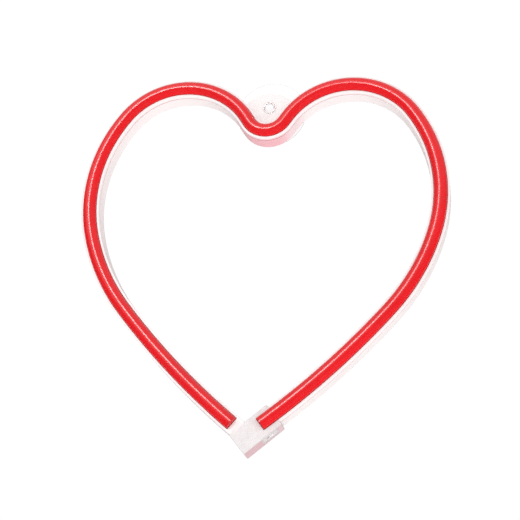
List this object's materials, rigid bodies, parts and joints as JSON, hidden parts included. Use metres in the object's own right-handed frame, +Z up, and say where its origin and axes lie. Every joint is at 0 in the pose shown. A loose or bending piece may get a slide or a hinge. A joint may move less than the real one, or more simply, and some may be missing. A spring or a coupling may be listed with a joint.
{
  "type": "neon-style heart wall sign",
  "caption": "Heart-shaped light sign: red tube in a white channel, with a small driver box at the tip, a slide switch and a suction cup to hang it by.",
  "frame": {"origin": "on the suction cup's axis, in the plane of the wall that the cup sticks to", "axes": "+Z up, +Y into the wall, so the light tube faces -Y; +X to the right seen from the front"},
  "size_m": [0.251, 0.0231, 0.2705],
  "materials": {
    "channel_white": "satin",
    "cover_white": "satin",
    "screw_steel": "satin",
    "tube_red": "satin",
    "plug_red": "satin",
    "strip_pcb": "gloss",
    "led_lens": "gloss",
    "chip_black": "matt",
    "lead_red": "satin",
    "lead_black": "satin",
    "board_green": "gloss",
    "capacitor_tan": "satin",
    "plated_steel": "polished",
    "switch_phenolic": "matt",
    "contact_brass": "polished",
    "knob_white": "gloss",
    "cup_clear": "clear gloss"
  },
  "bodies": {
    "sign": {"heart_channel": "channel_white", "rear_cover": "cover_white", "cover_screws": "screw_steel", "neon_tube": "tube_red", "tube_plug_left": "plug_red", "tube_plug_right": "plug_red", "led_strip": "strip_pcb", "led_chips": "led_lens", "strip_resistors": "chip_black", "lead_positive": "lead_red", "lead_negative": "lead_black", "box_lid": "cover_white", "lid_screws": "screw_steel", "driver_board": "board_green", "driver_chip": "chip_black", "inductor": "chip_black", "capacitors": "capacitor_tan", "board_resistors": "chip_black", "usb_shell": "plated_steel", "usb_tongue": "chip_black", "usb_insulator": "chip_black", "switch_case": "plated_steel", "switch_base": "switch_phenolic", "switch_pins": "contact_brass"},
    "slider": {"switch_slider": "knob_white", "switch_contact": "contact_brass"},
    "cup": {"suction_cup": "cup_clear"}
  },
  "joints": [
    {"name": "switch_slide", "type": "slide", "parent": "sign", "child": "slider", "axis": [-0.7547, 0, -0.6561], "range_m": [0, 0.002]},
    {"name": "cup_swivel", "type": "hinge", "parent": "sign", "child": "cup", "pos_m": [0, -0.0092, 0], "axis": [0, 1, 0], "continuous": true}
  ]
}
